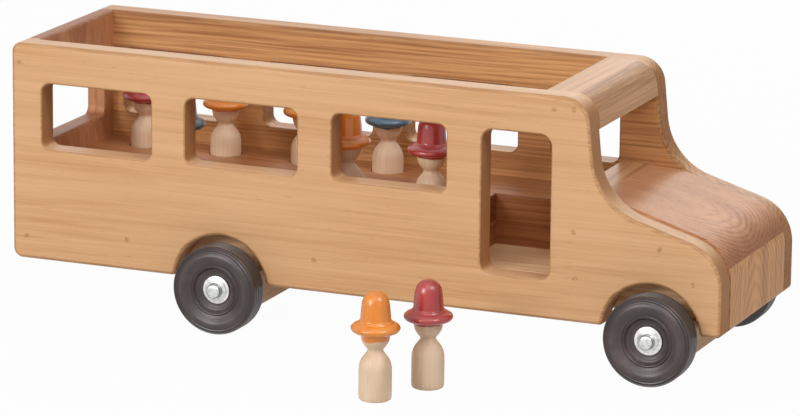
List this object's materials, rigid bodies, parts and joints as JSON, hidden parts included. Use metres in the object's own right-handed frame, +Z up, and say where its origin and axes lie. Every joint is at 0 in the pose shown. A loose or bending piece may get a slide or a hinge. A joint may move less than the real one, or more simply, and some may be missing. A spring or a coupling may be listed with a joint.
{
  "type": "toy bus",
  "caption": "Open-topped wooden toy bus with cut-out windows and doorway, free-rolling rubber wheels and turned peg people that lift out of sockets in its deck.",
  "frame": {"origin": "on the ground, under the middle of the body's length and width", "axes": "+X towards the front of the bus, +Y towards the driver's side (the doorway is on the -Y side), +Z up"},
  "size_m": [0.537, 0.3117, 0.192],
  "materials": {
    "door_side_panel_pine": "satin honey stain over pine",
    "driver_side_panel_pine": "satin honey stain over pine",
    "rear_panel_pine": "satin honey stain over pine",
    "floor_board_pine": "satin honey stain over pine",
    "passenger_deck_pine": "satin honey stain over pine",
    "rear_deck_bearer_pine": "satin honey stain over pine",
    "middle_deck_bearer_pine": "satin honey stain over pine",
    "entrance_riser_pine": "satin honey stain over pine",
    "bench_riser_pine": "satin honey stain over pine",
    "roof_header_pine": "satin honey stain over pine",
    "dash_board_pine": "satin honey stain over pine",
    "hood_board_pine": "satin honey stain over pine",
    "nose_board_pine": "satin honey stain over pine",
    "rear_axle_block_pine": "satin honey stain over pine",
    "front_axle_block_pine": "satin honey stain over pine",
    "axle_steel": "drawn",
    "wheel_rubber": "satin",
    "washer_zinc": "zinc plated",
    "cap_zinc": "zinc plated",
    "red_figure": "bare maple peg with a glossy red painted hat",
    "orange_figure": "bare maple peg with a glossy orange painted hat",
    "blue_figure": "bare maple peg with a glossy blue painted hat"
  },
  "bodies": {
    "bus": {"door_side_panel": "door_side_panel_pine", "driver_side_panel": "driver_side_panel_pine", "rear_panel": "rear_panel_pine", "floor_board": "floor_board_pine", "passenger_deck": "passenger_deck_pine", "rear_deck_bearer": "rear_deck_bearer_pine", "middle_deck_bearer": "middle_deck_bearer_pine", "entrance_riser": "entrance_riser_pine", "bench_riser": "bench_riser_pine", "roof_header": "roof_header_pine", "dash_board": "dash_board_pine", "hood_board": "hood_board_pine", "nose_board": "nose_board_pine", "rear_axle_block": "rear_axle_block_pine", "front_axle_block": "front_axle_block_pine", "rear_axle": "axle_steel", "front_axle": "axle_steel", "rear_door_side_inner_washer": "washer_zinc", "rear_door_side_outer_washer": "washer_zinc", "rear_door_side_axle_cap": "cap_zinc", "rear_driver_side_inner_washer": "washer_zinc", "rear_driver_side_outer_washer": "washer_zinc", "rear_driver_side_axle_cap": "cap_zinc", "front_door_side_inner_washer": "washer_zinc", "front_door_side_outer_washer": "washer_zinc", "front_door_side_axle_cap": "cap_zinc", "front_driver_side_inner_washer": "washer_zinc", "front_driver_side_outer_washer": "washer_zinc", "front_driver_side_axle_cap": "cap_zinc"},
    "rear_door_side_wheel": {"rear_door_side_wheel": "wheel_rubber"},
    "rear_driver_side_wheel": {"rear_driver_side_wheel": "wheel_rubber"},
    "front_door_side_wheel": {"front_door_side_wheel": "wheel_rubber"},
    "front_driver_side_wheel": {"front_driver_side_wheel": "wheel_rubber"},
    "red_figure_rear_far": {"red_figure_rear_far": "red_figure"},
    "orange_figure_second_far": {"orange_figure_second_far": "orange_figure"},
    "orange_figure_third_far": {"orange_figure_third_far": "orange_figure"},
    "blue_figure_fourth_far": {"blue_figure_fourth_far": "blue_figure"},
    "blue_figure_second_near": {"blue_figure_second_near": "blue_figure"},
    "orange_figure_fourth_near": {"orange_figure_fourth_near": "orange_figure"},
    "red_figure_front_near": {"red_figure_front_near": "red_figure"},
    "orange_figure_outside": {"orange_figure_outside": "orange_figure"},
    "red_figure_outside": {"red_figure_outside": "red_figure"}
  },
  "joints": [
    {"name": "rear_door_side_wheel_spin", "type": "hinge", "parent": "bus", "child": "rear_door_side_wheel", "pos_m": [-0.1013, -0.08705, 0.03175], "axis": [0, 1, 0], "continuous": true},
    {"name": "rear_driver_side_wheel_spin", "type": "hinge", "parent": "bus", "child": "rear_driver_side_wheel", "pos_m": [-0.1013, 0.08705, 0.03175], "axis": [0, 1, 0], "continuous": true},
    {"name": "front_door_side_wheel_spin", "type": "hinge", "parent": "bus", "child": "front_door_side_wheel", "pos_m": [0.2215, -0.08705, 0.03175], "axis": [0, 1, 0], "continuous": true},
    {"name": "front_driver_side_wheel_spin", "type": "hinge", "parent": "bus", "child": "front_driver_side_wheel", "pos_m": [0.2215, 0.08705, 0.03175], "axis": [0, 1, 0], "continuous": true},
    {"name": "red_figure_rear_far_lift", "type": "slide", "parent": "bus", "child": "red_figure_rear_far", "axis": [0, 0, 1], "range_m": [0, 0.115]},
    {"name": "orange_figure_second_far_lift", "type": "slide", "parent": "bus", "child": "orange_figure_second_far", "axis": [0, 0, 1], "range_m": [0, 0.115]},
    {"name": "orange_figure_third_far_lift", "type": "slide", "parent": "bus", "child": "orange_figure_third_far", "axis": [0, 0, 1], "range_m": [0, 0.115]},
    {"name": "blue_figure_fourth_far_lift", "type": "slide", "parent": "bus", "child": "blue_figure_fourth_far", "axis": [0, 0, 1], "range_m": [0, 0.115]},
    {"name": "blue_figure_second_near_lift", "type": "slide", "parent": "bus", "child": "blue_figure_second_near", "axis": [0, 0, 1], "range_m": [0, 0.115]},
    {"name": "orange_figure_fourth_near_lift", "type": "slide", "parent": "bus", "child": "orange_figure_fourth_near", "axis": [0, 0, 1], "range_m": [0, 0.115]},
    {"name": "red_figure_front_near_lift", "type": "slide", "parent": "bus", "child": "red_figure_front_near", "axis": [0, 0, 1], "range_m": [0, 0.115]},
    {"name": "orange_figure_outside_lift", "type": "slide", "parent": "bus", "child": "orange_figure_outside", "axis": [0, 0, 1], "range_m": [0, 0.115]},
    {"name": "red_figure_outside_lift", "type": "slide", "parent": "bus", "child": "red_figure_outside", "axis": [0, 0, 1], "range_m": [0, 0.115]}
  ]
}
